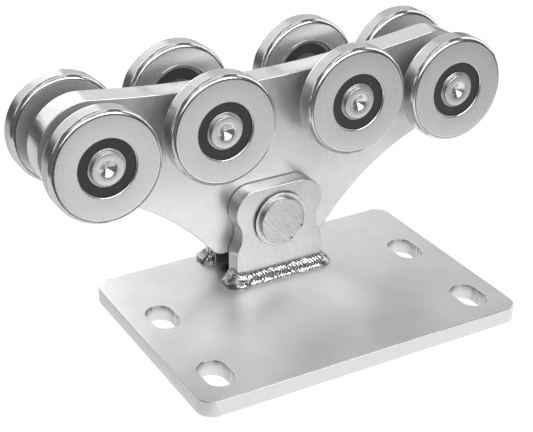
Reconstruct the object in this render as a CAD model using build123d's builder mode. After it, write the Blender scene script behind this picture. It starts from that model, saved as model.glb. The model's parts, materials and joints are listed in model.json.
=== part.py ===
# C-rail trolley: an eight-wheel carriage that tilts on a pin between two ears
# welded to a slotted base plate.
# Frame: X is the depth of the base plate and points to the front, Y runs along
# the rail, Z is up. The origin is the centre of the four slots, on the underside.
from build123d import *
import math
import os

os.makedirs("parts", exist_ok=True)

# Base plate
plate_length = 170.0  # along the rail
plate_width = 120.0
plate_thickness = 8.0
plate_corner_radius = 8.0
slot_spacing_x = 54.0
slot_spacing_y = 138.0
slot_width = 13.0
slot_length = 21.0  # end to end, along X
slot_front_margin = 20.0  # front edge to the front slots
edge_break = 0.4  # small chamfer on cut edges

# Ears
ear_thickness = 9.0
ear_foot_width = 47.8
ear_waist_width = 41.6
ear_head_width = 47.8
ear_height = 48.6  # above the plate
ear_corner_radius = 11.5
ear_notch_radius = 12.0
ear_foot_radius = 10.0  # from the waist down to the straight foot
ear_side_gap = 0.5  # each side of the carrier
ear_rear_margin = 3.75  # rear ear to the plate's back edge

# Pivot pin, seen from the front with its snap ring
pin_diameter = 24.0
pin_height = 30.7  # above the plate
pin_clearance = 0.08  # on the radius
pin_nose = 3.8  # stands out in front of the front ear
pin_chamfer = 0.35
pin_head_diameter = 31.0
pin_head_thickness = 3.2
pin_flat_depth = 0.8
pin_flat_angle = -45.0
snap_ring_diameter = 28.6
snap_ring_thickness = 1.5
snap_ring_seat = 0.6  # groove depth
snap_ring_opening = 44.0  # degrees
snap_ring_play = 0.05

# Carrier plate
carrier_thickness = 13.5
carrier_ground_gap = 13.2  # bottom edge above the base plate
carrier_bottom_width = 60.0
carrier_bottom_radius = 6.0
carrier_waist_depth = 6.9  # the middle of the top edge lies below its ends
carrier_lobe_radius = 23.7
carrier_undercut_radius = 126.0

# Axles and spacers
axle_diameter = 15.0
axle_rise = 58.3  # inner axles above the pin
axle_drop = 5.0  # outer axles below the inner ones
axle_fit = 0.03  # on the radius, fixed fits
axle_head_diameter = 15.8
axle_head_height = 1.6  # stands out from the inner ring
axle_dimple_diameter = 9.0
axle_dimple_angle = 120.0
spacer_diameter = 18.6

# Wheels
wheel_diameter = 54.0
wheel_rim_radius = 2.7
wheel_side_gap = 11.0  # carrier to wheel
wheel_pair_gap = 4.1  # between neighbours on one side
wheel_middle_gap = 17.0  # between the two middle wheels
wheel_lip_thickness = 1.0
wheel_lip_diameter = 27.8
wheel_lip_chamfer = 0.7
wheel_back_depth = 1.4  # bearing below the wheel's inner face
stake_count = 8  # punch marks that hold the bearing from the inner side
stake_ring_diameter = 34.3
stake_width = 1.4
stake_depth = 0.5
stake_angle = 27.0  # degrees, between the end centres of a mark
stake_start = 49.0

# Bearings
bearing_width = 9.0
bearing_diameter = 32.0
bearing_seat_diameter = 28.4  # seal seats in the outer ring
bearing_shoulder_outer = 26.6
bearing_shoulder_inner = 20.4
bearing_land_diameter = 18.4  # faces of the inner ring
ball_diameter = 4.76
ball_count = 9
ball_play = 0.2
seal_thickness = 0.8
seal_recess = 0.3
seal_lip_gap = 0.2

# Weld beads
weld_leg = 5.6
weld_rear_leg = 3.2  # behind the rear ear, where the plate is narrow
weld_bulge = 0.6  # the rounded face stands out past a flat one

# Places that follow from the sizes
front_edge_x = slot_spacing_x / 2 + slot_front_margin
back_edge_x = front_edge_x - plate_width
carrier_half = carrier_thickness / 2
ear_inner = carrier_half + ear_side_gap
ear_outer = ear_inner + ear_thickness
carriage_x = back_edge_x + ear_rear_margin + ear_outer
top_z = plate_thickness
pin_z = top_z + pin_height
inner_z = pin_z + axle_rise
outer_z = inner_z - axle_drop
inner_y = (wheel_diameter + wheel_middle_gap) / 2
outer_y = inner_y + wheel_diameter + wheel_pair_gap
axle_places = [(-outer_y, outer_z), (-inner_y, inner_z), (inner_y, inner_z), (outer_y, outer_z)]
wheel_width = wheel_lip_thickness + bearing_width + wheel_back_depth
wheel_inner = carrier_half + wheel_side_gap
wheel_outer = wheel_inner + wheel_width
bearing_inner_side = wheel_inner + wheel_back_depth
bearing_outer_side = bearing_inner_side + bearing_width
pitch_radius = (axle_diameter + bearing_diameter) / 4
race_radius = ball_diameter / 2 + ball_play


def save(part, name):
    part.label = name
    export_step(part, f"parts/{name}.step")


def toward(centre, point, radius):
    # The point at the given distance from centre on the way to another point
    reach = math.hypot(point[0] - centre[0], point[1] - centre[1])
    return (
        centre[0] + (point[0] - centre[0]) * radius / reach,
        centre[1] + (point[1] - centre[1]) * radius / reach,
    )


def arc_middle(centre, start, end, radius):
    # The middle of the short arc about centre
    return toward(centre, ((start[0] + end[0]) / 2, (start[1] + end[1]) / 2), radius)


def circle_crossing(a, radius_a, b, radius_b):
    # The crossing of two circles that lies below the line from a to b
    gap = math.hypot(b[0] - a[0], b[1] - a[1])
    along = (radius_a**2 - radius_b**2 + gap**2) / (2 * gap)
    across = math.sqrt(radius_a**2 - along**2)
    ux, uy = (b[0] - a[0]) / gap, (b[1] - a[1]) / gap
    return (a[0] + ux * along + uy * across, a[1] + uy * along - ux * across)


def depth_plane(x):
    # A sketch plane across the depth: its own x is Y, its own y is Z
    return Plane(origin=(x, 0, 0), x_dir=(0, 1, 0), z_dir=(1, 0, 0))


# Base plate
plate_middle_x = (front_edge_x + back_edge_x) / 2
with BuildPart() as base_plate:
    with BuildSketch():
        with Locations((plate_middle_x, 0)):
            RectangleRounded(plate_width, plate_length, plate_corner_radius)
        with GridLocations(slot_spacing_x, slot_spacing_y, 2, 2):
            SlotOverall(slot_length, slot_width, mode=Mode.SUBTRACT)
    extrude(amount=plate_thickness)
    rims = base_plate.faces().sort_by(Axis.Z)
    chamfer(rims[-1].edges() + rims[0].edges(), edge_break)
save(base_plate.part, "base_plate")

# Ears: a straight foot, a waist on each side and a head with round corners
ear_top_z = top_z + ear_height
head_half = ear_head_width / 2
foot_half = ear_foot_width / 2
corner_centre = (head_half - ear_corner_radius, ear_top_z - ear_corner_radius)
corner_top = (corner_centre[0], ear_top_z)
notch_y = ear_waist_width / 2 + ear_notch_radius
notch_reach = ear_corner_radius + ear_notch_radius
notch_drop = math.sqrt(notch_reach**2 - (notch_y - corner_centre[0]) ** 2)
notch_centre = (notch_y, corner_centre[1] - notch_drop)
notch_head = toward(corner_centre, notch_centre, ear_corner_radius)
round_y = foot_half - ear_foot_radius
round_reach = ear_foot_radius + ear_notch_radius
round_drop = math.sqrt(round_reach**2 - (notch_y - round_y) ** 2)
round_centre = (round_y, notch_centre[1] - round_drop)
notch_foot = toward(round_centre, notch_centre, ear_foot_radius)
foot_top = (foot_half, round_centre[1])


def make_ear(low_x):
    with BuildPart() as ear:
        with BuildSketch(depth_plane(low_x)):
            with BuildLine():
                waist_middle = (ear_waist_width / 2, notch_centre[1])
                corner_middle = arc_middle(corner_centre, notch_head, corner_top, ear_corner_radius)
                foot_middle = arc_middle(round_centre, foot_top, notch_foot, ear_foot_radius)
                Polyline((0, top_z), (foot_half, top_z), foot_top)
                ThreePointArc(foot_top, foot_middle, notch_foot)
                ThreePointArc(notch_foot, waist_middle, notch_head)
                ThreePointArc(notch_head, corner_middle, corner_top)
                Line(corner_top, (0, ear_top_z))
                mirror(about=Plane.YZ)
            make_face()
            with Locations((0, pin_z)):
                Circle(pin_diameter / 2 + pin_clearance, mode=Mode.SUBTRACT)
        extrude(amount=ear_thickness)
        sides = ear.faces().filter_by(Axis.X).sort_by(Axis.X)
        rims = sides[0].outer_wire().edges() + sides[-1].outer_wire().edges()
        chamfer(rims.filter_by(lambda e: e.center().Z > top_z + edge_break), edge_break)
    return ear.part


save(make_ear(carriage_x + ear_inner), "ear_front")
save(make_ear(carriage_x - ear_outer), "ear_rear")


# Weld beads: along the outer face of an ear and around both of its ends
def bead_section(plane, leg):
    with BuildSketch(plane) as section:
        with BuildLine():
            middle = leg / 2 + weld_bulge
            Polyline((0, leg), (0, 0), (leg, 0))
            ThreePointArc((leg, 0), (middle, middle), (0, leg))
        make_face()
    return section.sketch


def make_weld(side, face_leg):
    face_x = carriage_x + side * ear_outer
    with BuildPart() as weld:
        for end in (1, -1):
            corner = (face_x, end * foot_half, top_z)
            across_face = Plane(origin=corner, x_dir=(side, 0, 0), z_dir=(0, -side, 0))
            across_end = Plane(origin=corner, x_dir=(0, end, 0), z_dir=(end, 0, 0))
            extrude(bead_section(across_face, face_leg), amount=side * end * foot_half)
            turn = Axis(corner, (0, 0, side * end))
            revolve(bead_section(across_face, face_leg), axis=turn, revolution_arc=90)
            extrude(bead_section(across_end, weld_leg), amount=-side * end * ear_thickness)
    return weld.part


save(make_weld(1, weld_leg), "weld_front")
save(make_weld(-1, weld_rear_leg), "weld_rear")


def axial_plane(side, place):
    # Its own x runs outward along an axle from the middle of the carrier, its own y is the radius
    return Plane(origin=(carriage_x, *place), x_dir=(side, 0, 0), z_dir=(0, -side, 0))


def turn_about(place):
    return Axis((carriage_x, *place), (1, 0, 0))


def make_turned(points, place, side=1, rounded=(), radius=0.0):
    with BuildPart() as turned:
        with BuildSketch(axial_plane(side, place)) as profile:
            with BuildLine():
                Polyline(*points, close=True)
            make_face()
            if rounded:
                fillet([profile.vertices().sort_by_distance(p)[0] for p in rounded], radius)
        revolve(axis=turn_about(place))
    return turned.part


# Pivot pin: a head behind the rear ear, a groove, a flat and a chamfered nose in front
pin_place = (0, pin_z)
pin_radius = pin_diameter / 2
groove_radius = pin_radius - snap_ring_seat
groove_end = ear_outer + snap_ring_thickness + 2 * snap_ring_play
nose_end = ear_outer + pin_nose
head_radius = pin_head_diameter / 2
head_end = -ear_outer - pin_head_thickness
pin_profile = [
    (head_end, 0),
    (head_end, head_radius - pin_chamfer),
    (head_end + pin_chamfer, head_radius),
    (-ear_outer, head_radius),
    (-ear_outer, pin_radius),
    (ear_outer, pin_radius),
    (ear_outer, groove_radius),
    (groove_end, groove_radius),
    (groove_end, pin_radius),
    (nose_end - pin_chamfer, pin_radius),
    (nose_end, pin_radius - pin_chamfer),
    (nose_end, 0),
]
flat_turn = math.radians(pin_flat_angle)
front_of_ear = Plane(
    origin=(carriage_x + ear_outer, 0, pin_z),
    x_dir=(0, math.cos(flat_turn), math.sin(flat_turn)),
    z_dir=(1, 0, 0),
)
with BuildPart() as pivot_pin:
    add(make_turned(pin_profile, pin_place))
    with BuildSketch(front_of_ear):
        with Locations((pin_radius - pin_flat_depth, 0)):
            Rectangle(pin_diameter, pin_diameter, align=(Align.MIN, Align.CENTER))
    extrude(amount=pin_nose, mode=Mode.SUBTRACT)
save(pivot_pin.part, "pivot_pin")

with BuildPart() as snap_ring:
    with BuildSketch(front_of_ear.offset(snap_ring_play)):
        Circle(snap_ring_diameter / 2)
        Circle(groove_radius + snap_ring_play, mode=Mode.SUBTRACT)
        half_opening = math.radians(snap_ring_opening / 2)
        mouth = snap_ring_diameter * math.tan(half_opening)
        with BuildLine():
            Polyline(
                (0, 0), (snap_ring_diameter, -mouth), (snap_ring_diameter, mouth), close=True
            )
        make_face(mode=Mode.SUBTRACT)
    extrude(amount=snap_ring_thickness)
save(snap_ring.part, "pin_snap_ring")


# Carrier plate: lobes round the outer axles, a hollow top edge and two long undercuts
carrier_bottom_z = top_z + carrier_ground_gap
bottom_corner = (carrier_bottom_width / 2, carrier_bottom_z)
lobe_centre = (outer_y, outer_z)
lobe_reach = carrier_undercut_radius + carrier_lobe_radius
undercut_centre = circle_crossing(bottom_corner, carrier_undercut_radius, lobe_centre, lobe_reach)
lobe_bottom = toward(lobe_centre, undercut_centre, carrier_lobe_radius)
waist_z = outer_z + carrier_lobe_radius - carrier_waist_depth
waist_rise = waist_z - outer_z
top_radius = (outer_y**2 + waist_rise**2 - carrier_lobe_radius**2) / (2 * carrier_waist_depth)
top_centre = (0, waist_z + top_radius)
lobe_top = toward(lobe_centre, top_centre, carrier_lobe_radius)
with BuildPart() as carrier_plate:
    with BuildSketch(depth_plane(carriage_x - carrier_half)):
        with BuildLine():
            Line((0, carrier_bottom_z), bottom_corner)
            undercut_middle = arc_middle(
                undercut_centre, bottom_corner, lobe_bottom, carrier_undercut_radius
            )
            ThreePointArc(bottom_corner, undercut_middle, lobe_bottom)
            ThreePointArc(lobe_bottom, (outer_y + carrier_lobe_radius, outer_z), lobe_top)
            ThreePointArc(
                lobe_top, arc_middle(top_centre, lobe_top, (0, waist_z), top_radius), (0, waist_z)
            )
            mirror(about=Plane.YZ)
        make_face()
        with Locations(pin_place):
            Circle(pin_radius + pin_clearance, mode=Mode.SUBTRACT)
        with Locations(*axle_places):
            Circle(axle_diameter / 2 + axle_fit, mode=Mode.SUBTRACT)
    extrude(amount=carrier_thickness)
    bottom_edges = carrier_plate.edges().filter_by(Axis.X).group_by(Axis.Z)[0]
    fillet(bottom_edges, carrier_bottom_radius)
    sides = carrier_plate.faces().filter_by(Axis.X).sort_by(Axis.X)
    chamfer(sides[0].outer_wire().edges() + sides[-1].outer_wire().edges(), edge_break)
save(carrier_plate.part, "carrier_plate")


# Axles: one pin for each pair of wheels, with both ends spread over the inner rings
axle_radius = axle_diameter / 2
axle_bore = axle_radius + axle_fit
axle_head = axle_head_diameter / 2
axle_tip = bearing_outer_side + axle_head_height
dimple_radius = axle_dimple_diameter / 2
dimple_depth = dimple_radius / math.tan(math.radians(axle_dimple_angle / 2))
axle_end = [
    (bearing_outer_side, axle_radius),
    (bearing_outer_side, axle_head),
    (axle_tip - edge_break, axle_head),
    (axle_tip, axle_head - edge_break),
    (axle_tip, dimple_radius),
    (axle_tip - dimple_depth, 0),
]
axle_profile = [(-x, r) for x, r in reversed(axle_end)] + axle_end
for number, place in enumerate(axle_places, start=1):
    save(make_turned(axle_profile, place), f"axle_{number}")

# Half sections of the turned pieces of one wheel, along its axle and out from it
spacer_profile = [
    (carrier_half, axle_bore),
    (carrier_half, spacer_diameter / 2),
    (bearing_inner_side, spacer_diameter / 2),
    (bearing_inner_side, axle_bore),
]

wheel_radius = wheel_diameter / 2
wheel_bore = bearing_diameter / 2 + axle_fit
wheel_lip = wheel_lip_diameter / 2
wheel_profile = [
    (wheel_inner, wheel_bore),
    (wheel_inner, wheel_radius),
    (wheel_outer, wheel_radius),
    (wheel_outer, wheel_lip + wheel_lip_chamfer),
    (wheel_outer - wheel_lip_chamfer, wheel_lip),
    (bearing_outer_side, wheel_lip),
    (bearing_outer_side, wheel_bore),
]
wheel_rims = [(wheel_inner, wheel_radius), (wheel_outer, wheel_radius)]
stake_line = CenterArc((0, 0), stake_ring_diameter / 2, stake_start, stake_angle)


def make_wheel(place, side):
    # A turned disc whose inner face is punched round the bore once the bearing is in
    disc = make_turned(wheel_profile, place, side, wheel_rims, wheel_rim_radius)
    with BuildPart() as wheel:
        add(disc)
        with BuildSketch(depth_plane(carriage_x + side * wheel_inner)):
            with Locations(place):
                with PolarLocations(0, stake_count):
                    SlotArc(stake_line, stake_width)
        extrude(amount=side * stake_depth, mode=Mode.SUBTRACT)
    return wheel.part


race_middle = (bearing_inner_side + bearing_outer_side) / 2
land_length = seal_recess + seal_thickness + seal_recess
seat_length = seal_recess + seal_thickness


def make_ring(back_r, face_r, face_length, shoulder_r, place, side):
    # A bearing ring: a plain back, stepped faces and a shoulder with the ball groove
    near, far = bearing_inner_side, bearing_outer_side
    groove_half = math.sqrt(race_radius**2 - (pitch_radius - shoulder_r) ** 2)
    inward = math.copysign(race_radius, shoulder_r - pitch_radius)
    with BuildPart() as ring:
        with BuildSketch(axial_plane(side, place)):
            with BuildLine():
                groove_start = (race_middle - groove_half, shoulder_r)
                groove_finish = (race_middle + groove_half, shoulder_r)
                Polyline(
                    groove_finish,
                    (far - face_length, shoulder_r),
                    (far - face_length, face_r),
                    (far, face_r),
                    (far, back_r),
                    (near, back_r),
                    (near, face_r),
                    (near + face_length, face_r),
                    (near + face_length, shoulder_r),
                    groove_start,
                )
                ThreePointArc(groove_start, (race_middle, pitch_radius + inward), groove_finish)
            make_face()
        revolve(axis=turn_about(place))
    return ring.part


def make_seals(place, side):
    inner_r = bearing_land_diameter / 2 + seal_lip_gap
    outer_r = bearing_seat_diameter / 2
    starts = (bearing_inner_side + seal_recess, bearing_outer_side - seal_recess - seal_thickness)
    with BuildPart() as seals:
        for start in starts:
            with BuildSketch(depth_plane(carriage_x + side * start)):
                with Locations(place):
                    Circle(outer_r)
                    Circle(inner_r, mode=Mode.SUBTRACT)
            extrude(amount=side * seal_thickness)
    return seals.part


def make_balls(place, side):
    centre = Plane(
        origin=(carriage_x + side * race_middle, *place), x_dir=(0, 1, 0), z_dir=(1, 0, 0)
    )
    with BuildPart(centre) as balls:
        with PolarLocations(pitch_radius, ball_count):
            Sphere(ball_diameter / 2)
    return balls.part


# Each axle end carries a spacer, a wheel and its sealed ball bearing
for row, side in (("front", 1), ("rear", -1)):
    for number, place in enumerate(axle_places, start=1):
        tag = f"{row}_{number}"
        outer_ring = make_ring(
            bearing_diameter / 2,
            bearing_seat_diameter / 2,
            seat_length,
            bearing_shoulder_outer / 2,
            place,
            side,
        )
        inner_ring = make_ring(
            axle_bore,
            bearing_land_diameter / 2,
            land_length,
            bearing_shoulder_inner / 2,
            place,
            side,
        )
        save(make_turned(spacer_profile, place, side), f"spacer_{tag}")
        save(make_wheel(place, side), f"wheel_{tag}")
        save(outer_ring, f"bearing_outer_ring_{tag}")
        save(inner_ring, f"bearing_inner_ring_{tag}")
        save(make_seals(place, side), f"bearing_seals_{tag}")
        save(make_balls(place, side), f"bearing_balls_{tag}")
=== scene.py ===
import bmesh
import bpy
import json
import math
from mathutils import Matrix, Vector

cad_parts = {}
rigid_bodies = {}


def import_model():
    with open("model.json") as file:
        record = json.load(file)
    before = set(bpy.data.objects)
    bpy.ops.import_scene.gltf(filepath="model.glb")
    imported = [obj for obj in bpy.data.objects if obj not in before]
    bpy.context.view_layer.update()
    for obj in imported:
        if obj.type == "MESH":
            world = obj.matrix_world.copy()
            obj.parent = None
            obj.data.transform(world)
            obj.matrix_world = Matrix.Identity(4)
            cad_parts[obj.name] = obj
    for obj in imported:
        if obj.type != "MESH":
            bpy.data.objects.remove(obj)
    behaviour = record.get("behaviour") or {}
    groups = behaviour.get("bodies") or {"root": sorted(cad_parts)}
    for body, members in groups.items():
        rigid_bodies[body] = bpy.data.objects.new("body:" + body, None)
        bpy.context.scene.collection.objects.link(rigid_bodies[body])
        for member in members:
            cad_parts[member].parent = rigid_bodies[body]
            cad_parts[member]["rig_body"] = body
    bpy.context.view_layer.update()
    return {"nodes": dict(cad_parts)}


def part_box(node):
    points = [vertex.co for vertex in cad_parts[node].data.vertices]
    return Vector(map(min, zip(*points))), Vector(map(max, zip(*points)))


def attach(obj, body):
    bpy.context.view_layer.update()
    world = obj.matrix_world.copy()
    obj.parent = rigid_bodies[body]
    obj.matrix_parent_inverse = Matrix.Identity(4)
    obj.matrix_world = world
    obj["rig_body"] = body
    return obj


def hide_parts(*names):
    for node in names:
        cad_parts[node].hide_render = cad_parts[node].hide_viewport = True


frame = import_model()
nodes = frame["nodes"]
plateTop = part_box("base_plate")[1][2]
mm = 0.001
print("frame loaded:", len(nodes), "nodes")

# Colours and nodes

# the kinds of node used most
calc = "ShaderNodeMath"
vectorCalc = "ShaderNodeVectorMath"
ramp = "ShaderNodeMapRange"
mix = "ShaderNodeMix"
noise = "ShaderNodeTexNoise"
split = "ShaderNodeSeparateXYZ"


def shade(hexColour):
    # a written sRGB colour as the linear one that a shader wants
    parts = [int(hexColour[i:i + 2], 16) / 255 for i in (1, 3, 5)]
    return [p / 12.92 if p <= 0.04045 else ((p + 0.055) / 1.055) ** 2.4 for p in parts] + [1]


def feed(tree, socket, value):
    # a node stands for its first output in use; an output is linked in, and a plain value is set
    if isinstance(value, bpy.types.Node):
        value = next(output for output in value.outputs if output.enabled)
    if isinstance(value, bpy.types.NodeSocket):
        tree.links.new(value, socket)
    else:
        socket.default_value = value


def addNode(tree, kind, inputs=(), **settings):
    # a dictionary feeds inputs by their names, and a list feeds the ones in use in their order
    node = tree.nodes.new(kind)
    for name, value in settings.items():
        setattr(node, name, value)
    if isinstance(inputs, dict):
        sockets = [node.inputs[name] for name in inputs]
        inputs = inputs.values()
    else:
        sockets = [socket for socket in node.inputs if socket.enabled]
    for socket, value in zip(sockets, inputs):
        feed(tree, socket, value)
    return node


def addObject(name, data):
    made = bpy.data.objects.new(name, data)
    bpy.context.scene.collection.objects.link(made)
    return made


def newMaterial(name):
    material = bpy.data.materials.new(name)
    material.use_nodes = True
    tree = material.node_tree
    tree.nodes.clear()
    shader = addNode(tree, "ShaderNodeBsdfPrincipled")
    addNode(tree, "ShaderNodeOutputMaterial", {"Surface": shader})
    return material, tree, shader


# a noise lies mostly about a half, so these stretches of it make the full change of a tone, ripple or patch
toneSpan, rippleSpan, patchSpan = (0.33, 0.67), (0.3, 0.7), (0.35, 0.65)
noiseRoughness = 0.55


def surface(tree, axis):
    # a point's place, the way its surface looks, and how far that is along the axis, either way
    coordinates = addNode(tree, "ShaderNodeTexCoord")
    normal = addNode(tree, split, [coordinates.outputs["Normal"]])
    facing = addNode(tree, calc, [normal.outputs[axis]], operation="ABSOLUTE")
    return coordinates.outputs["Object"], normal, facing


def grain(tree, spot, sizes, detail=2.0, slant=0.0):
    # sizes are one grain's along X, Y and Z in millimetres, and the slant turns it about X in degrees
    turn, scale = (math.radians(slant), 0, 0), [size * mm for size in sizes]
    placing = {"Vector": spot, "Rotation": turn, "Scale": scale}
    placed = addNode(tree, "ShaderNodeMapping", placing, vector_type="TEXTURE")
    look = {"Vector": placed, "Scale": 1.0, "Detail": detail, "Roughness": noiseRoughness}
    return addNode(tree, noise, look)


def twoTone(tree, fine, dark, pale):
    # the colour goes from dark to pale with the grain
    share = addNode(tree, ramp, [fine, *toneSpan, 0.0, 1.0])
    return addNode(tree, mix, [share, dark, pale], data_type="RGBA")


def finishShader(tree, shader, colour, rough, fine, depth, metallic):
    # depth is how deep the fine grain goes, in millimetres
    relief = addNode(tree, calc, [fine, depth], operation="MULTIPLY")
    bumped = addNode(tree, "ShaderNodeBump", {"Strength": 1.0, "Distance": mm, "Height": relief})
    inputs = {"Normal": bumped, "Roughness": rough, "Base Color": colour, "Metallic": metallic}
    for name, value in inputs.items():
        feed(tree, shader.inputs[name], value)


def middleOf(name):
    # a round piece's axis, as its place along Y and Z
    low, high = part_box(name)
    return (low[1] + high[1]) / 2, (low[2] + high[2]) / 2


# Zinc plated steel

# the clear passivation film on the zinc scatters some light, so its dark reflections stay grey
filmMetallic = 0.86

# real grain is finer than a pixel at this size, so it is drawn about half a millimetre wide
finishes = {
    # rolled sheet, satin, with faint lines along its length that the eye reads as flat steel
    "plateZinc": dict(
        colour="#e4e4e4", dark="#d8d8d8", shadedRim="#d2d2d2",  # its two tones, and a darker one for all cut edges: painted shade for the shaded floor beside the plate that they mirror
        streak=0.35,  # how much of the tones' change follows the grain, the rest being broad clouds
        rough=0.4, edgeRough=0.32, spread=0.05,  # of the faces and the cut edges, and how far both vary
        axis="Z",  # which way its flat faces look
        face=(0.7, 26, 4), edge=(0.55, 0.55, 9),  # the grain's size along X, Y and Z in millimetres
        bump=0.012, edgeBump=0.003),  # and its depth
    # upright belt brushing on the faces, cutting lines across the edges
    "earZinc": dict(
        colour="#d4d4d4", dark="#bebebe", streak=0.75, rough=0.35, edgeRough=0.22, spread=0.06,
        axis="X", face=(2, 0.38, 3.2), edge=(24, 0.6, 0.6), bump=0.008, edgeBump=0.05),
    # fine satin on the faces under a cloudier film, coarser cutting lines across the brighter edges
    "carrierZinc": dict(
        colour="#e0e0e0", dark="#cecece", streak=0.65, rough=0.34, edgeRough=0.18, spread=0.06,
        axis="X", face=(1.2, 0.6, 2.4), edge=(26, 0.6, 0.6), bump=0.01, edgeBump=0.08,
        faceMetallic=0.74),
    # ground nose: fine slanting lines that make it stand out from the ear
    "pinZinc": dict(
        colour="#cfcfcf", dark="#9e9e9e", streak=0.9, rough=0.33, edgeRough=0.15, spread=0.08,
        axis="X", face=(2, 4.5, 0.28), edge=(0.6, 3, 3), bump=0.012, edgeBump=0.01,
        slant=-42),  # of the face's grain, in degrees
    # stamped spring ring: its rim is painted near black, as painted shade for the gap against the ear, which
    # draws the ring out from the ear
    "ringZinc": dict(
        colour="#d2d2d2", dark="#bcbcbc", shadedRim="#565656", streak=0.5, rough=0.3, edgeRough=0.2, spread=0.05,
        axis="X", face=(1, 1, 1), edge=(1, 1, 1), bump=0.008, edgeBump=0.008),
    # bright metal that froze in ripples, with painted shade in the hollows between them
    "weldZinc": dict(
        colour="#d4d4d4", dark="#a0a0a0", hollow="#7c7c7c", streak=0.8, rough=0.3, edgeRough=0.3,
        spread=0.1, axis="X", face=(0.6, 0.6, 0.6), edge=(0.6, 0.6, 0.6), bump=0.06, edgeBump=0.06),
}
cloudSize = (17, 17, 17)  # millimetres
faceSpan = (0.6, 0.8)  # a cut edge turns into a face where it looks this far along the axis
crestSpan = (0.05, 0.4)  # the painted shade in a weld ripple's hollow ends this far up the ripple

# chamfers between faces and edges are rubbed smooth in the plating drum, so they glint
rubbed = {"rough": 0.13, "pastEdge": (0.04, 0.14), "beforeFace": (0.95, 0.99)}


def rubCorners(tree, facing, rough):
    # facing is how far the surface looks along its flat face's axis: 1 on the face, 0 on the cut edge
    pastEdge = addNode(tree, ramp, [facing, *rubbed["pastEdge"], 0.0, 1.0])
    beforeFace = addNode(tree, ramp, [facing, *rubbed["beforeFace"], 1.0, 0.0])
    corner = addNode(tree, calc, [pastEdge, beforeFace], operation="MINIMUM")
    return addNode(tree, mix, [corner, rough, rubbed["rough"]])


# Painted shade on the slots' walls: darkest at each slot's upper edge and fading out down its wall, broken
# into streaks by the grain. More painted shade, also streaked, falls on the walls that look away from the
# plate's front.
slotWalls = {
    "pale": "#d6d6d6", "dark": "#7a7a7a",
    "edgeMargin": 5 * mm,  # a cut edge this near the plate's outline is no slot's
    "topShadeEnd": 0.2,  # how far up the wall the painted shade ends
    "backShadeSpan": (-0.3, 0.7), "backShadeFront": 0.1,  # the painted shade fades to this share towards the front
    "topStreakLeast": 0.25, "backShadeLeast": 0.2,  # what is left of both between the grains
}


def inSlots(tree, spot):
    # 1 well inside the base plate's outline, where all cut edges are the slots', and 0 round the outside
    parts = addNode(tree, split, [spot])
    low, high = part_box("base_plate")
    inside = 1.0
    for side, axis in enumerate("XY"):
        middle, half = (high[side] + low[side]) / 2, (high[side] - low[side]) / 2
        offset = addNode(tree, calc, [parts.outputs[axis], middle], operation="SUBTRACT")
        away = addNode(tree, calc, [offset], operation="ABSOLUTE")
        within = addNode(tree, calc, [away, half - slotWalls["edgeMargin"]], operation="LESS_THAN")
        inside = addNode(tree, calc, [within, inside], operation="MULTIPLY")
    return inside


def slotWallShade(tree, spot, fine, facingX):
    walls = slotWalls
    height = addNode(tree, split, [spot]).outputs["Z"]
    depth = addNode(tree, ramp, [height, walls["topShadeEnd"] * plateTop, plateTop, 0.0, 1.0])
    fading = addNode(tree, calc, [depth, depth], operation="MULTIPLY")
    topStreaks = addNode(tree, ramp, [fine, *patchSpan, 1.0, walls["topStreakLeast"]])
    topShade = addNode(tree, calc, [fading, topStreaks], operation="MULTIPLY")
    turned = addNode(tree, ramp, [facingX, *walls["backShadeSpan"], 1.0, walls["backShadeFront"]])
    backStreaks = addNode(tree, ramp, [fine, *patchSpan, 1.0, walls["backShadeLeast"]])
    backShade = addNode(tree, calc, [turned, backStreaks], operation="MULTIPLY")
    return addNode(tree, calc, [topShade, backShade], operation="MAXIMUM")


# painted shade: the narrow gap between the ears, under the carrier, is darkened in the colour of every zinc
# piece there
earGapShade = {
    "tone": "#404040",
    "gapShare": 0.55, "sideways": 24 * mm, "upwards": 13 * mm,  # its reach along X, Y and Z
    "fadeSpan": (0.85, 1.1),  # in shares of that reach
}


def shadeBetweenEars(tree, spot, colour):
    (rearLow, rearHigh), (frontLow, frontHigh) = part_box("ear_rear"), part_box("ear_front")
    middle = ((rearLow[0] + frontHigh[0]) / 2, (rearLow[1] + frontHigh[1]) / 2, plateTop)
    gap = frontLow[0] - rearHigh[0]
    reach = (earGapShade["gapShare"] * gap, earGapShade["sideways"], earGapShade["upwards"])
    placing = {"Vector": spot, "Location": middle, "Scale": reach}
    inside = addNode(tree, "ShaderNodeMapping", placing, vector_type="TEXTURE")
    away = addNode(tree, vectorCalc, [inside], operation="LENGTH")
    outside = addNode(tree, ramp, [away, *earGapShade["fadeSpan"], 0.0, 1.0])
    return addNode(tree, mix, [outside, shade(earGapShade["tone"]), colour], data_type="RGBA")


# painted shade: two small dark spots at the ends of the flat on the pin's nose, for the gaps beside the snap
# ring's ends
pinFlatShade = {
    "tone": "#080808", "fadeSpan": (0.7 * mm, 1.0 * mm),
    "angles": (-24, -66), "reach": 11.65 * mm,  # their places round the pin's middle
}


def shadePinFlatEnds(tree, spot, colour):
    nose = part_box("pivot_pin")[1][0]
    middleY, middleZ = middleOf("pivot_pin")
    for angle in pinFlatShade["angles"]:
        y = middleY + pinFlatShade["reach"] * math.cos(math.radians(angle))
        z = middleZ + pinFlatShade["reach"] * math.sin(math.radians(angle))
        away = addNode(tree, vectorCalc, [spot, (nose, y, z)], operation="DISTANCE")
        outside = addNode(tree, ramp, [away, *pinFlatShade["fadeSpan"], 0.0, 1.0])
        colour = addNode(tree, mix, [outside, shade(pinFlatShade["tone"]), colour], data_type="RGBA")
    return colour


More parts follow.
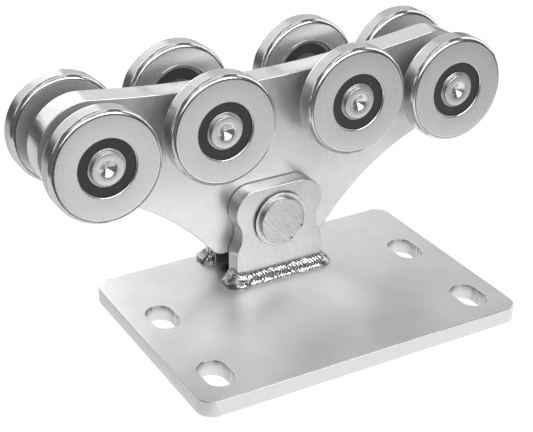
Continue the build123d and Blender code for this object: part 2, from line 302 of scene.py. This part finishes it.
def makeZinc(name):
    finish = finishes[name]
    material, tree, shader = newMaterial(name)
    spot, normal, facing = surface(tree, finish["axis"])
    onFace = addNode(tree, ramp, [facing, *faceSpan, 0.0, 1.0])
    edge = grain(tree, spot, finish["edge"])
    face = grain(tree, spot, finish["face"], slant=finish.get("slant", 0.0))
    fine = addNode(tree, mix, [onFace, edge, face])
    tone = addNode(tree, mix, [finish["streak"], grain(tree, spot, cloudSize, detail=3.0), fine])
    colour = twoTone(tree, tone, shade(finish["dark"]), shade(finish["colour"]))
    # the cut edges take the rim tone, which is painted shade
    if "shadedRim" in finish:
        colour = addNode(tree, mix, [onFace, shade(finish["shadedRim"]), colour], data_type="RGBA")
    # painted shade on the slots' walls
    if name == "plateZinc":
        wallShade = slotWallShade(tree, spot, edge, normal.outputs["X"])
        tones = shade(slotWalls["pale"]), shade(slotWalls["dark"])
        wall = addNode(tree, mix, [wallShade, *tones], data_type="RGBA")
        onEdge = addNode(tree, calc, [1.0, onFace], operation="SUBTRACT")
        onWall = addNode(tree, calc, [inSlots(tree, spot), onEdge], operation="MULTIPLY")
        colour = addNode(tree, mix, [onWall, colour, wall], data_type="RGBA")
    # painted shade in the hollows between the weld's ripples
    if "hollow" in finish:
        crest = addNode(tree, "ShaderNodeAttribute", attribute_name="crest").outputs["Fac"]
        raised = addNode(tree, ramp, [crest, *crestSpan, 0.0, 1.0])
        colour = addNode(tree, mix, [raised, shade(finish["hollow"]), colour], data_type="RGBA")
    # painted shade between the ears
    colour = shadeBetweenEars(tree, spot, colour)
    # painted shade at the ends of the pin's flat
    if name == "pinZinc":
        colour = shadePinFlatEnds(tree, spot, colour)
    smooth = addNode(tree, mix, [onFace, finish["edgeRough"], finish["rough"]])
    ripple = addNode(tree, ramp, [fine, *rippleSpan, -finish["spread"], finish["spread"]])
    rough = rubCorners(tree, facing, addNode(tree, calc, [smooth, ripple], operation="ADD"))
    depth = addNode(tree, mix, [onFace, finish["edgeBump"], finish["bump"]])
    metallic = filmMetallic
    if "faceMetallic" in finish:
        metallic = addNode(tree, mix, [onFace, filmMetallic, finish["faceMetallic"]])
    finishShader(tree, shader, colour, rough, fine, depth, metallic)
    return material


# Round pieces: their marks run in rings round each wheel's axle

def axleDistance(tree, spot):
    # how far a point is from the nearest axle; the four axles lie at two heights, in pairs either side
    parts = addNode(tree, split, [spot])
    sideways = addNode(tree, calc, [parts.outputs["Y"]], operation="ABSOLUTE")
    (nearY, nearZ), (farY, farZ) = [middleOf(f"axle_{number}") for number in (3, 4)]
    far = addNode(tree, calc, [sideways, (nearY + farY) / 2], operation="GREATER_THAN")
    squares = []
    for here, nearAxle, farAxle in ((sideways, nearY, farY), (parts.outputs["Z"], nearZ, farZ)):
        axle = addNode(tree, mix, [far, nearAxle, farAxle])
        offset = addNode(tree, calc, [here, axle], operation="SUBTRACT")
        squares.append(addNode(tree, calc, [offset, offset], operation="MULTIPLY"))
    total = addNode(tree, calc, squares, operation="ADD")
    return addNode(tree, calc, [total], operation="SQRT")


def turningMarks(tree, spot, step, detail=2.0):
    # lathe marks, one to each step: rings on what faces along the axle, bands on what runs round it
    radius = axleDistance(tree, spot)
    along = addNode(tree, split, [spot]).outputs["X"]
    lane = [addNode(tree, calc, [distance, step * mm], operation="DIVIDE") for distance in (radius, along)]
    placed = addNode(tree, "ShaderNodeCombineXYZ", lane)
    look = {"Vector": placed, "Scale": 1.0, "Detail": detail, "Roughness": noiseRoughness}
    return addNode(tree, noise, look)


turnedFinishes = {
    # bright axle ends, with the lathe's rings just seen
    "axleZinc": dict(
        colour="#dedede", dark="#c6c6c6", rough=0.3, spread=0.06, bump=0.012,
        ringStep=0.45, grain=0.8,  # the width of a lathe mark and of a grain, in millimetres
        ringShare=0.6),  # how much of the tone follows the lathe marks
    # plain turned sleeves, a shade duller than the axles
    "spacerZinc": dict(
        colour="#d2d2d2", dark="#c2c2c2", rough=0.32, spread=0.05, bump=0.01,
        ringStep=0.6, grain=0.8, ringShare=0.5),
    # ground bearing rings: greyer than the zinc round them
    "bearingSteel": dict(
        colour="#bcbcbc", dark="#a6a6a6", rough=0.3, spread=0.05, bump=0.006,
        ringStep=0.5, grain=0.8, ringShare=0.5),
}


def makeTurned(name):
    finish = turnedFinishes[name]
    material, tree, shader = newMaterial(name)
    spot, _, facing = surface(tree, "X")
    rings = turningMarks(tree, spot, finish["ringStep"])
    fine = addNode(tree, mix, [finish["ringShare"], grain(tree, spot, [finish["grain"]] * 3), rings])
    colour = twoTone(tree, fine, shade(finish["dark"]), shade(finish["colour"]))
    smoothest, roughest = finish["rough"] - finish["spread"], finish["rough"] + finish["spread"]
    rough = addNode(tree, ramp, [fine, *rippleSpan, smoothest, roughest])
    finishShader(tree, shader, colour, rubCorners(tree, facing, rough), fine, finish["bump"], filmMetallic)
    return material


# wheels: satin turned faces, smooth treads with fine turning lines, and bright rims whose reflections fray
wheelFinish = {
    "colour": "#e1e1e1", "dark": "#cecece", "tread": "#bcbcbc", "treadDark": "#b0b0b0",
    "faceRough": 0.36, "treadRough": 0.24, "rimRough": 0.13, "spread": 0.03, "bump": 0.005, "rimBump": 0.02,
    "ringStep": 0.6, "grain": 0.75, "faceRings": 0.3, "treadRings": 0.85,
    # how far a surface looks along the axle where the face begins and where the tread ends
    "faceSpan": (0.985, 0.998), "treadSpan": (0.02, 0.1),
    # painted shade: a thin dark line where the rim's round runs out into the face
    "shadeLine": "#606060", "shadeLineIn": (0.89, 0.93), "shadeLineOut": (0.955, 0.98),
}


def makeWheelZinc():
    finish = wheelFinish
    material, tree, shader = newMaterial("wheelZinc")
    spot, _, facing = surface(tree, "X")
    onFace = addNode(tree, ramp, [facing, *finish["faceSpan"], 0.0, 1.0])
    onTread = addNode(tree, ramp, [facing, *finish["treadSpan"], 1.0, 0.0])
    treadRings = addNode(tree, calc, [onTread, finish["treadRings"]], operation="MULTIPLY")
    ringShare = addNode(tree, mix, [onFace, treadRings, finish["faceRings"]])
    rings = turningMarks(tree, spot, finish["ringStep"], detail=1.0)
    fine = addNode(tree, mix, [ringShare, grain(tree, spot, [finish["grain"]] * 3), rings])
    pale = addNode(tree, mix, [onTread, shade(finish["colour"]), shade(finish["tread"])], data_type="RGBA")
    dark = addNode(tree, mix, [onTread, shade(finish["dark"]), shade(finish["treadDark"])], data_type="RGBA")
    colour = twoTone(tree, fine, dark, pale)
    # the thin line of painted shade where the rim runs into the face
    shadeLineIn = addNode(tree, ramp, [facing, *finish["shadeLineIn"], 0.0, 1.0])
    shadeLineOut = addNode(tree, ramp, [facing, *finish["shadeLineOut"], 1.0, 0.0])
    shadeLine = addNode(tree, calc, [shadeLineIn, shadeLineOut], operation="MINIMUM")
    colour = addNode(tree, mix, [shadeLine, colour, shade(finish["shadeLine"])], data_type="RGBA")
    smooth = addNode(tree, mix, [onTread, finish["rimRough"], finish["treadRough"]])
    smooth = addNode(tree, mix, [onFace, smooth, finish["faceRough"]])
    ripple = addNode(tree, ramp, [fine, *rippleSpan, -finish["spread"], finish["spread"]])
    rough = addNode(tree, calc, [smooth, ripple], operation="ADD")
    offRim = addNode(tree, calc, [onFace, onTread], operation="MAXIMUM")
    depth = addNode(tree, mix, [offRim, finish["rimBump"], finish["bump"]])
    finishShader(tree, shader, colour, rough, fine, depth, filmMetallic)
    return material


# moulded nitrile rubber: matt and near black, with a few pale specks of dust
sealFinish = {
    "colour": "#2f2f2e", "dust": "#8a8a88", "grain": 0.7, "dustGrain": 1.3, "dustSpan": (0.72, 0.78),
    "dustShare": 0.4, "rough": (0.58, 0.7), "bump": 0.02,
}


def makeSealRubber():
    finish = sealFinish
    material, tree, shader = newMaterial("sealRubber")
    spot = addNode(tree, "ShaderNodeTexCoord").outputs["Object"]
    fine = grain(tree, spot, [finish["grain"]] * 3, detail=3.0)
    dust = grain(tree, spot, [finish["dustGrain"]] * 3, detail=1.0)
    speck = addNode(tree, ramp, [dust, *finish["dustSpan"], 0.0, finish["dustShare"]])
    colour = addNode(tree, mix, [speck, shade(finish["colour"]), shade(finish["dust"])], data_type="RGBA")
    rough = addNode(tree, ramp, [fine, *rippleSpan, *finish["rough"]])
    finishShader(tree, shader, colour, rough, fine, finish["bump"], 0.0)
    return material


# polished balls, bright points if a seal is ever taken off
ballFinish = {"Base Color": shade("#d9d9d9"), "Metallic": 1.0, "Roughness": 0.05}


def makeBallSteel():
    material, tree, shader = newMaterial("ballSteel")
    for name, value in ballFinish.items():
        feed(tree, shader.inputs[name], value)
    return material


zinc = {name: makeZinc(name) for name in finishes}
turned = {name: makeTurned(name) for name in turnedFinishes}
wheelZinc = makeWheelZinc()
sealRubber = makeSealRubber()
ballSteel = makeBallSteel()
dress = {
    "base_plate": zinc["plateZinc"], "ear_": zinc["earZinc"], "weld_": zinc["weldZinc"],
    "pivot_pin": zinc["pinZinc"], "pin_snap_ring": zinc["ringZinc"], "carrier_plate": zinc["carrierZinc"],
    "axle_": turned["axleZinc"], "spacer_": turned["spacerZinc"], "wheel_": wheelZinc,
    "bearing_outer_ring_": turned["bearingSteel"], "bearing_inner_ring_": turned["bearingSteel"],
    "bearing_seals_": sealRubber, "bearing_balls_": ballSteel,
}
for name, piece in nodes.items():
    finish = next(finish for start, finish in dress.items() if name.startswith(start))
    piece.data.materials.clear()
    piece.data.materials.append(finish)
print("materials done")

# Finished edges: copies of the pieces with their points joined, so that chamfers shade as rounds

edges = {
    "shaded": ("base_plate", "ear_", "pivot_pin", "carrier_plate", "axle_", "wheel_"),
    # the solids leave these rings' edges sharp, so they are rounded as well, by so many millimetres
    "rounds": {"pin_snap_ring": 0.3, "bearing_inner_ring_": 0.3, "bearing_outer_ring_": 0.25},
    "roundSteps": 2, "flatWeight": 90,
    "joinWithin": 0.0005,  # millimetres
    "sharpAbove": 50,  # degrees
}


def plainMesh(holder):
    # the holder's mesh as its modifiers leave it
    graph = bpy.context.evaluated_depsgraph_get()
    return bpy.data.meshes.new_from_object(holder.evaluated_get(graph), depsgraph=graph)


def finishEdges(name, rounding):
    mesh = nodes[name].data.copy()
    joined = bmesh.new()
    joined.from_mesh(mesh)
    bmesh.ops.remove_doubles(joined, verts=joined.verts, dist=edges["joinWithin"] * mm)
    joined.to_mesh(mesh)
    joined.free()
    if "custom_normal" in mesh.attributes:
        mesh.attributes.remove(mesh.attributes["custom_normal"])
    mesh.shade_smooth()
    mesh.set_sharp_from_angle(angle=math.radians(edges["sharpAbove"]))
    piece = addObject(name + "_finished", mesh)
    if rounding:
        bevel = piece.modifiers.new("round", "BEVEL")
        bevel.width, bevel.segments = rounding * mm, edges["roundSteps"]
        bevel.limit_method, bevel.angle_limit = "ANGLE", math.radians(edges["sharpAbove"])
    weighted = piece.modifiers.new("flatFaces", "WEIGHTED_NORMAL")
    weighted.keep_sharp, weighted.weight = True, edges["flatWeight"]
    finished = plainMesh(piece)
    piece.modifiers.clear()
    piece.data = finished
    bpy.data.meshes.remove(mesh)
    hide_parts(name)
    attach(piece, nodes[name]["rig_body"])


for name in nodes:
    rounding = next((size for start, size in edges["rounds"].items() if name.startswith(start)), 0)
    if rounding or name.startswith(edges["shaded"]):
        finishEdges(name, rounding)
print("edges done")

# Weld beads: overlapping crescents of molten metal along the ears' feet

# the bead's own sizes, which are its tree's inputs
bead = {
    "Leg": 5.6 * mm, "Left Leg": 6.7 * mm, "Face Leg": 5.6 * mm, "Hollow": 0.18, "Sink": 0.3 * mm,
    "End Round": 3.4 * mm, "Ripple Pitch": 1.7 * mm, "Ripple Height": 0.26 * mm, "Ripple Bow": 2.2,
    "Unevenness": 0.4 * mm, "Half Foot": (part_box("ear_front")[1][1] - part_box("ear_front")[0][1]) / 2,
}
rearFaceLeg = 3.2 * mm  # the plate leaves less room behind the rear ear
beadPlan = {
    "shortOfEar": 0.7 * mm,  # from each tip to the ear's inner face
    "endLength": 5 * mm,  # the width changes over this, up to each end of the ear's foot
    "cornerRound": 1.5 * mm, "cornerSteps": 6, "pathStep": 0.22 * mm, "sectionSteps": 26, "tipStart": 0.02,
    # the sizes of three mottles
    "broad": 4.4 * mm, "patchy": 2.6 * mm, "pitted": 1.0 * mm,
    "drift": 2.2, "swell": 0.5,  # the broad one moves the ripples and swells the bead
    "heights": (0.25, 1.5),  # the patchy one makes some ripples higher
    "pits": 0.2,  # the pitted one roughens the skin
    # the unevenness grows from both edges of the bead inwards and falls again towards its middle
    "edgeSpan": (0.0, 0.3), "edgeShare": 0.5, "middleSpan": (0.5, 0.95), "middleShare": 0.4,
}


def newGeometryTree(name, sizes):
    # a tree with named inputs; a curve or mesh comes in and the finished piece goes out
    tree = bpy.data.node_groups.new(name, "GeometryNodeTree")
    tree.interface.new_socket("Geometry", in_out="INPUT", socket_type="NodeSocketGeometry")
    tree.interface.new_socket("Geometry", in_out="OUTPUT", socket_type="NodeSocketGeometry")
    for label, value in sizes.items():
        socket = tree.interface.new_socket(label, in_out="INPUT", socket_type="NodeSocketFloat")
        socket.default_value = value
    into = addNode(tree, "NodeGroupInput")
    return tree, {socket.name: socket for socket in into.outputs}


def finishGeometryTree(tree, geometry, material):
    whole = addNode(tree, "GeometryNodeRealizeInstances", [geometry])
    painted = addNode(tree, "GeometryNodeSetMaterial", {"Geometry": whole, "Material": material})
    addNode(tree, "NodeGroupOutput", [painted])


def pieceFromTree(name, source, tree, sizes):
    # runs the tree on the source object with these sizes and keeps the result as a plain mesh
    modifier = source.modifiers.new(tree.name, "NODES")
    modifier.node_group = tree
    sockets = [item for item in tree.interface.items_tree if item.in_out == "INPUT"]
    identifiers = {socket.name: socket.identifier for socket in sockets}
    for label, value in sizes.items():
        modifier[identifiers[label]] = value
    mesh = plainMesh(source)
    source.modifiers.remove(modifier)
    bpy.data.objects.remove(source)
    mesh.name = name
    return addObject(name, mesh)


def remember(tree, geometry, name, value):
    # keeps a value on the piece's points under a name
    stored = {"Geometry": geometry, "Name": name, "Value": value}
    return addNode(tree, "GeometryNodeStoreNamedAttribute", stored, data_type="FLOAT", domain="POINT")


def beadPath(tree, size):
    # the path, with its corners just rounded and its points close together
    plan = beadPlan
    rounding = {"Curve": size["Geometry"], "Count": plan["cornerSteps"], "Radius": plan["cornerRound"]}
    rounded = addNode(tree, "GeometryNodeFilletCurve", rounding, mode="POLY")
    spacing = {"Curve": rounded, "Length": plan["pathStep"]}
    path = addNode(tree, "GeometryNodeResampleCurve", spacing, mode="LENGTH")
    along = addNode(tree, "GeometryNodeSplineParameter").outputs["Length"]
    # the bead's width changes from the ear's face to its ends, the left one the thickest
    spot = addNode(tree, split, [addNode(tree, "GeometryNodeInputPosition")])
    sideways = addNode(tree, calc, [spot.outputs["Y"]], operation="ABSOLUTE")
    nearEnd = addNode(tree, calc, [size["Half Foot"], plan["endLength"]], operation="SUBTRACT")
    onLeft = addNode(tree, calc, [spot.outputs["Y"], 0.0], operation="LESS_THAN")
    endLeg = addNode(tree, mix, [onLeft, size["Leg"], size["Left Leg"]])
    leg = addNode(tree, ramp, [sideways, nearEnd, size["Half Foot"], size["Face Leg"], endLeg])
    leg = addNode(tree, calc, [leg, size["Sink"]], operation="ADD")
    # its tips are round
    total = addNode(tree, "GeometryNodeCurveLength", [path])
    ahead = addNode(tree, calc, [total, along], operation="SUBTRACT")
    tip = addNode(tree, calc, [along, ahead], operation="MINIMUM")
    tipShare = addNode(tree, calc, [tip, size["End Round"]], operation="DIVIDE")
    inside = addNode(tree, ramp, [tipShare, plan["tipStart"], 1.0, 1.0 - plan["tipStart"], 0.0])
    squared = addNode(tree, calc, [inside, inside], operation="MULTIPLY")
    left = addNode(tree, calc, [1.0, squared], operation="SUBTRACT")
    tipRound = addNode(tree, calc, [left], operation="SQRT")
    reach = addNode(tree, calc, [leg, tipRound], operation="MULTIPLY")
    upright = addNode(tree, "GeometryNodeSetCurveNormal", {"Curve": path}, mode="Z_UP")
    return remember(tree, upright, "along", along), reach


def beadSection(tree, size):
    # a quarter of a disc, one unit in radius, a little flatter in its middle
    quarter = {"Resolution": beadPlan["sectionSteps"], "Radius": 1.0, "Start Angle": -math.pi / 2,
               "Sweep Angle": math.pi / 2, "Connect Center": True}
    pie = addNode(tree, "GeometryNodeCurveArc", quarter, mode="RADIUS")
    point = addNode(tree, "GeometryNodeInputPosition")
    place = addNode(tree, split, [point])
    angle = addNode(tree, calc, [place.outputs["Y"], place.outputs["X"]], operation="ARCTAN2")
    twice = addNode(tree, calc, [angle, 2.0], operation="MULTIPLY")
    wave = addNode(tree, calc, [twice], operation="SINE")
    crown = addNode(tree, calc, [wave], operation="ABSOLUTE")
    squared = addNode(tree, calc, [crown, crown], operation="MULTIPLY")
    hollow = addNode(tree, calc, [squared, size["Hollow"]], operation="MULTIPLY")
    shrink = addNode(tree, calc, [1.0, hollow], operation="SUBTRACT")
    flatter = addNode(tree, vectorCalc, [point, shrink], operation="SCALE")
    crowned = remember(tree, pie, "crown", crown)
    return addNode(tree, "GeometryNodeSetPosition", {"Geometry": crowned, "Position": flatter})


def makeBeadTree(material):
    plan = beadPlan
    tree, size = newGeometryTree("weldBead", bead)
    path, reach = beadPath(tree, size)
    sweeping = {"Curve": path, "Profile Curve": beadSection(tree, size), "Scale": reach, "Fill Caps": True}
    swept = addNode(tree, "GeometryNodeCurveToMesh", sweeping)
    run = addNode(tree, "GeometryNodeInputNamedAttribute", {"Name": "along"}, data_type="FLOAT")
    middle = addNode(tree, "GeometryNodeInputNamedAttribute", {"Name": "crown"}, data_type="FLOAT")
    here = addNode(tree, "GeometryNodeInputPosition")
    broad = addNode(tree, noise, {"Vector": here, "Scale": 1 / plan["broad"], "Detail": 1.0})
    patchy = addNode(tree, noise, {"Vector": here, "Scale": 1 / plan["patchy"], "Detail": 1.0})
    pitted = addNode(tree, noise, {"Vector": here, "Scale": 1 / plan["pitted"], "Detail": 2.0})
    # crescents: a steep front and a long back, bowed forward in the middle of the bead
    steps = addNode(tree, calc, [run, size["Ripple Pitch"]], operation="DIVIDE")
    bow = addNode(tree, calc, [middle, size["Ripple Bow"]], operation="MULTIPLY")
    steps = addNode(tree, calc, [steps, bow], operation="SUBTRACT")
    drift = addNode(tree, calc, [broad, plan["drift"]], operation="MULTIPLY")
    steps = addNode(tree, calc, [steps, drift], operation="ADD")
    back = addNode(tree, calc, [steps], operation="FRACT")
    rising = addNode(tree, calc, [back, 2.0], operation="MULTIPLY")
    falling = addNode(tree, calc, [1.0, back], operation="SUBTRACT")
    crest = addNode(tree, calc, [rising, falling], operation="MINIMUM")
    # some ripples froze higher than others, so their glints come and go
    patches = addNode(tree, ramp, [patchy, *patchSpan, *plan["heights"]])
    height = addNode(tree, calc, [size["Ripple Height"], patches], operation="MULTIPLY")
    lift = addNode(tree, calc, [crest, height], operation="MULTIPLY")
    fading = addNode(tree, calc, [middle], operation="SQRT")
    lift = addNode(tree, calc, [lift, fading], operation="MULTIPLY")
    # both edges of the bead are more uneven than its middle
    swell = addNode(tree, ramp, [broad, *rippleSpan, -plan["swell"], plan["swell"]])
    swell = addNode(tree, calc, [swell, size["Unevenness"]], operation="MULTIPLY")
    pits = addNode(tree, ramp, [pitted, *rippleSpan, -plan["pits"], plan["pits"]])
    pits = addNode(tree, calc, [pits, size["Unevenness"]], operation="MULTIPLY")
    uneven = addNode(tree, calc, [swell, pits], operation="ADD")
    growing = addNode(tree, ramp, [middle, *plan["edgeSpan"], plan["edgeShare"], 1.0])
    sinking = addNode(tree, ramp, [middle, *plan["middleSpan"], 1.0, plan["middleShare"]])
    share = addNode(tree, calc, [growing, sinking], operation="MULTIPLY")
    uneven = addNode(tree, calc, [uneven, share], operation="MULTIPLY")
    rise = addNode(tree, calc, [lift, uneven], operation="ADD")
    offset = addNode(tree, vectorCalc, [addNode(tree, "GeometryNodeInputNormal"), rise], operation="SCALE")
    # the two flat sides, which lie inside the ear and the plate, stay where they are
    skin = addNode(tree, calc, [middle, 0.001], operation="GREATER_THAN")
    moving = {"Geometry": swept, "Selection": skin, "Offset": offset}
    shaped = addNode(tree, "GeometryNodeSetPosition", moving)
    marked = remember(tree, shaped, "crest", crest)
    finishGeometryTree(tree, addNode(tree, "GeometryNodeSetShadeSmooth", {"Geometry": marked}), material)
    return tree


def makeBead(name, tree, side, faceLeg, earName):
    # the path lies a little inside the ear and the plate, and starts and ends short of the ear's inner face
    low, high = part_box(earName)
    sink = bead["Sink"]
    inner, outer = low[0] + beadPlan["shortOfEar"], high[0] - sink
    if side < 0:
        inner, outer = high[0] - beadPlan["shortOfEar"], low[0] + sink
    half = bead["Half Foot"] - sink
    level = plateTop - sink
    corners = [(inner, -half), (outer, -half), (outer, half), (inner, half)][::side]
    curve = bpy.data.curves.new(name, "CURVE")
    curve.dimensions = "3D"
    spline = curve.splines.new("POLY")
    spline.points.add(len(corners) - 1)
    for point, (x, y) in zip(spline.points, corners):
        point.co = (x, y, level, 1)
    piece = pieceFromTree(name + "_bead", addObject(name, curve), tree, {**bead, "Face Leg": faceLeg})
    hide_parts(name)
    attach(piece, "base")


beadTree = makeBeadTree(zinc["weldZinc"])
makeBead("weld_front", beadTree, 1, bead["Face Leg"], "ear_front")
makeBead("weld_rear", beadTree, -1, rearFaceLeg, "ear_rear")
print("weld beads done")

# The set: a small white table in a dim room, a tall white screen behind and a soft box in front

camera = {
    "aim": (-0.0257, -0.0137, 0.0482), "distance": 0.6371,  # metres
    "azimuth": 60.57, "elevation": 27.21, "roll": 0.079,  # degrees, as seen from the aim
    "lens": 90.57, "sensor": 36, "clip": (0.05, 20),
}


def makeCamera():
    turn, rise = math.radians(camera["azimuth"]), math.radians(camera["elevation"])
    back = Vector((math.sin(turn) * math.cos(rise), -math.cos(turn) * math.cos(rise), math.sin(rise)))
    data = bpy.data.cameras.new("camera")
    data.lens, data.sensor_width = camera["lens"], camera["sensor"]
    data.clip_start, data.clip_end = camera["clip"]
    eye = addObject("camera", data)
    place = Matrix.Translation(Vector(camera["aim"]) + back * camera["distance"])
    view = back.to_track_quat("Z", "Y").to_matrix().to_4x4()
    tilt = Matrix.Rotation(math.radians(camera["roll"]), 4, "Z")
    eye.matrix_world = place @ view @ tilt
    bpy.context.scene.camera = eye


room = {"seen": 1.0, "lit": 0.07}  # white to the camera and dim to everything else


def makeRoom():
    world = bpy.data.worlds.new("room")
    bpy.context.scene.world = world
    world.use_nodes = True
    tree = world.node_tree
    tree.nodes.clear()
    path = addNode(tree, "ShaderNodeLightPath")
    lit = addNode(tree, "ShaderNodeBackground", {"Color": (1, 1, 1, 1), "Strength": room["lit"]})
    seen = addNode(tree, "ShaderNodeBackground", {"Color": (1, 1, 1, 1), "Strength": room["seen"]})
    mixed = addNode(tree, "ShaderNodeMixShader", [path.outputs["Is Camera Ray"], lit, seen])
    addNode(tree, "ShaderNodeOutputWorld", {"Surface": mixed})


tableFinish = {"Base Color": shade("#f2f2f2"), "Roughness": 0.8, "Specular IOR Level": 0.1}
table = {
    "back": 1.0, "front": 0.9, "left": 0.38, "right": 1.0, "drop": 0.0002,
    # the camera sees mostly the table's own glow, so little shadow shows on it
    "seenGlow": 1.12, "seenShare": 0.88,
    # as the metal mirrors it: bright round the object, and darker from one line to another in front
    "poolSpan": (0.10, 0.30), "poolLean": 0.45, "near": 1.24, "far": 0.36,
    # and dimmer again on the object's shadow side
    "sideSpan": (-0.09, -0.075), "beside": 0.7,
    # the dark under the camera, which the left wheels' dimples and rims mirror
    "cornerX": (0.06, 0.09), "cornerY": (-0.10, -0.07), "corner": 0.12,
}


def mirroredTable(tree):
    spot = addNode(tree, split, [addNode(tree, "ShaderNodeTexCoord").outputs["Object"]])
    x, y = spot.outputs["X"], spot.outputs["Y"]
    leaning = addNode(tree, calc, [y, table["poolLean"]], operation="MULTIPLY")
    forward = addNode(tree, calc, [x, leaning], operation="ADD")
    pool = addNode(tree, ramp, [forward, *table["poolSpan"], table["near"], table["far"]])
    beside = addNode(tree, ramp, [y, *table["sideSpan"], table["beside"], 1.0])
    pool = addNode(tree, calc, [pool, beside], operation="MULTIPLY")
    nearX = addNode(tree, ramp, [x, *table["cornerX"], 0.0, 1.0])
    nearY = addNode(tree, ramp, [y, *table["cornerY"], 1.0, 0.0])
    corner = addNode(tree, calc, [nearX, nearY], operation="MULTIPLY")
    return addNode(tree, mix, [corner, pool, table["corner"]])


def makeTable():
    back, front, left, right = -table["back"], table["front"], -table["left"], table["right"]
    corners = (back, left), (front, left), (front, right), (back, right)
    mesh = bpy.data.meshes.new("table")
    mesh.from_pydata([(x, y, -table["drop"]) for x, y in corners], [], [(0, 1, 2, 3)])
    material, tree, shader = newMaterial("tableWhite")
    for name, value in tableFinish.items():
        feed(tree, shader.inputs[name], value)
    path = addNode(tree, "ShaderNodeLightPath")
    mirrored = path.outputs["Is Glossy Ray"]
    strength = addNode(tree, mix, [mirrored, table["seenGlow"], mirroredTable(tree)])
    glow = addNode(tree, "ShaderNodeEmission", {"Color": (1, 1, 1, 1), "Strength": strength})
    seen = addNode(tree, calc, [path.outputs["Is Camera Ray"], table["seenShare"]], operation="MULTIPLY")
    amount = addNode(tree, calc, [seen, mirrored], operation="MAXIMUM")
    mixed = addNode(tree, "ShaderNodeMixShader", [amount, shader, glow])
    feed(tree, tree.nodes["Material Output"].inputs["Surface"], mixed)
    mesh.materials.append(material)
    addObject("table", mesh)


# each panel's bearing from the camera's line of sight (right is plus), elevation, width and height, all in
# degrees as seen from the object, and its brightness
panels = {
    "softBoxUpper": (135, 38, 60, 20, 5.2),
    "softBoxLower": (135, 20, 60, 16, 1.91),
    "behindCamera": (180, 30, 30, 36, 1.73),
    "behindHigh": (-150, 59, 90, 22, 0.69),
    "leftCard": (-90, 20, 30, 16, 0.8),
    "backLeft": (-60, 30, 30, 36, 1.36),
    "backScreenLow": (-30, 6, 30, 12, 2.4),
    "backScreen": (-30, 20, 30, 16, 2.35),
    "backScreenTop": (-30, 38, 30, 20, 1.42),
    "backMiddle": (0, 24, 30, 48, 0.88),
    "backHigh": (0, 59, 30, 22, 0.65),
    "backRight": (30, 14, 30, 28, 0.54),
    "backRightUpper": (30, 38, 30, 20, 0.43),
    "rightCard": (60, 24, 30, 48, 1.62),
    "overhead": (0, 90, 40, 40, 0.9),
}
panelReach = 0.9
panelAim = Vector((0, 0, 0.09))  # about as high as the axles


def makePanel(name, bearing, elevation, wide, tall, glow):
    turn = math.radians(90 + camera["azimuth"] - bearing)
    rise = math.radians(elevation)
    level = panelReach * math.cos(rise)
    place = panelAim + Vector((math.cos(turn) * level, math.sin(turn) * level, panelReach * math.sin(rise)))
    data = bpy.data.lights.new(name, "AREA")
    data.shape = "RECTANGLE"
    data.size_y = 2 * panelReach * math.tan(math.radians(tall / 2))
    data.size = data.size_y if elevation == 90 else level * math.radians(wide)
    data.energy = glow * math.pi * data.size * data.size_y
    lamp = addObject(name, data)
    facing = (place - panelAim).to_track_quat("Z", "Y").to_matrix().to_4x4()
    lamp.matrix_world = Matrix.Translation(place) @ facing
    lamp.visible_camera = False


bpy.context.scene.view_settings.view_transform = "Standard"
makeCamera()
makeRoom()
makeTable()
for name, values in panels.items():
    makePanel(name, *values)
print("set and camera done")
